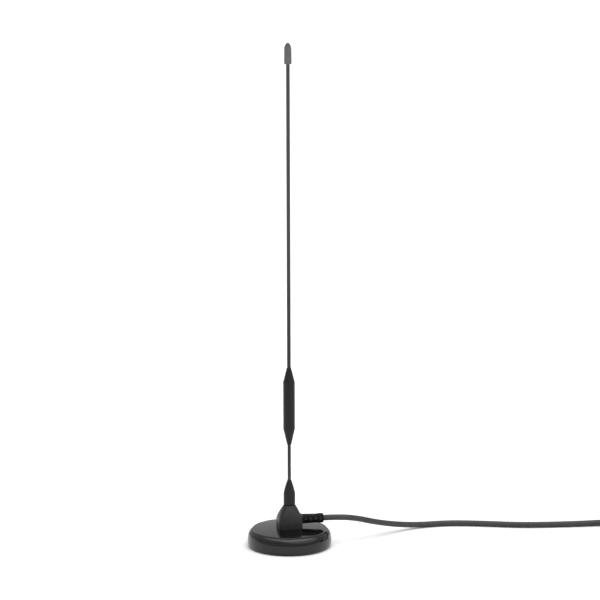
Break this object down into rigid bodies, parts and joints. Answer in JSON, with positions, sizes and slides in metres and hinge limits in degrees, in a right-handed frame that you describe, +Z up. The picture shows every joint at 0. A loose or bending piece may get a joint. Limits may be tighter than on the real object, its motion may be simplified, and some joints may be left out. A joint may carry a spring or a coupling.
{
  "type": "magnetic mount whip antenna",
  "caption": "Vehicle cellular antenna for a signal booster: a two-section whip with a phasing coil screws into a round magnetic base; coax lead ends in an SMA plug.",
  "frame": {"origin": "centre of the foot pad's underside, where the base rests", "axes": "+Z up along the whip, +X the way the lead leaves the housing"},
  "size_m": [0.3004, 0.081, 0.311],
  "materials": {
    "rubber_black": "matte moulded rubber",
    "gloss_black": "high-gloss moulded plastic",
    "satin_black": "satin moulded plastic",
    "magnet_nickel": "nickel-plated sintered magnet",
    "zinc_steel": "zinc-plated steel",
    "brass": "turned brass",
    "tinned_copper": "tinned",
    "copper": "bare copper",
    "black_rod": "black-chrome plated steel",
    "cap_grey": "satin grey moulding",
    "jacket": "PVC jacket",
    "insulation": "white insulator",
    "nickel": "nickel-plated brass",
    "gold": "gold flashed",
    "shrink": "heat-shrink sleeve",
    "strap": "woven hook-and-loop strap"
  },
  "bodies": {
    "base": {"foot_pad": "rubber_black", "strain_relief": "rubber_black", "housing_gasket": "rubber_black", "plug_gasket": "rubber_black", "base_cover": "gloss_black", "mount_housing": "satin_black", "ring_magnet": "magnet_nickel", "pole_cup": "zinc_steel", "cup_screws": "zinc_steel", "housing_screws": "zinc_steel", "contact_stud": "brass", "stud_nut": "brass", "feed_lug": "tinned_copper", "ground_strap": "tinned_copper", "braid_end": "tinned_copper", "braid_ferrule": "tinned_copper", "conductor_end": "copper", "jacket_end": "jacket", "coax_lead": "jacket", "coax_coil": "jacket", "coax_tail": "jacket", "core_end": "insulation", "plug_dielectric": "insulation", "plug_body": "nickel", "crimp_sleeve": "nickel", "plug_ring": "nickel", "plug_pin": "gold", "plug_sleeve": "shrink", "cable_tie": "strap"},
    "washer": {"whip_washer": "rubber_black"},
    "whip": {"whip_boot": "satin_black", "whip_ferrule": "brass", "lower_rod": "black_rod", "lower_coil_ferrule": "brass", "coil_former": "insulation", "phasing_coil": "copper", "upper_coil_ferrule": "brass", "coil_cover": "satin_black", "upper_rod": "black_rod", "tip_cap": "cap_grey"},
    "plug_nut": {"coupling_nut": "nickel"}
  },
  "joints": [
    {"name": "whip_rise", "type": "slide", "parent": "base", "child": "washer", "axis": [0, 0, 1], "range_m": [0, 0.0049]},
    {"name": "whip_turn", "type": "hinge", "parent": "washer", "child": "whip", "pos_m": [0, 0, 0.026], "axis": [0, 0, 1], "range_deg": [0, 2521]},
    {"name": "coupling_nut_spin", "type": "hinge", "parent": "base", "child": "plug_nut", "pos_m": [0.27, -0.0424, 0.00475], "axis": [0, -1, 0], "continuous": true}
  ],
  "couplings": [
    {"joint": "whip_turn", "follows": "whip_rise", "rad_per_m": 8976}
  ]
}
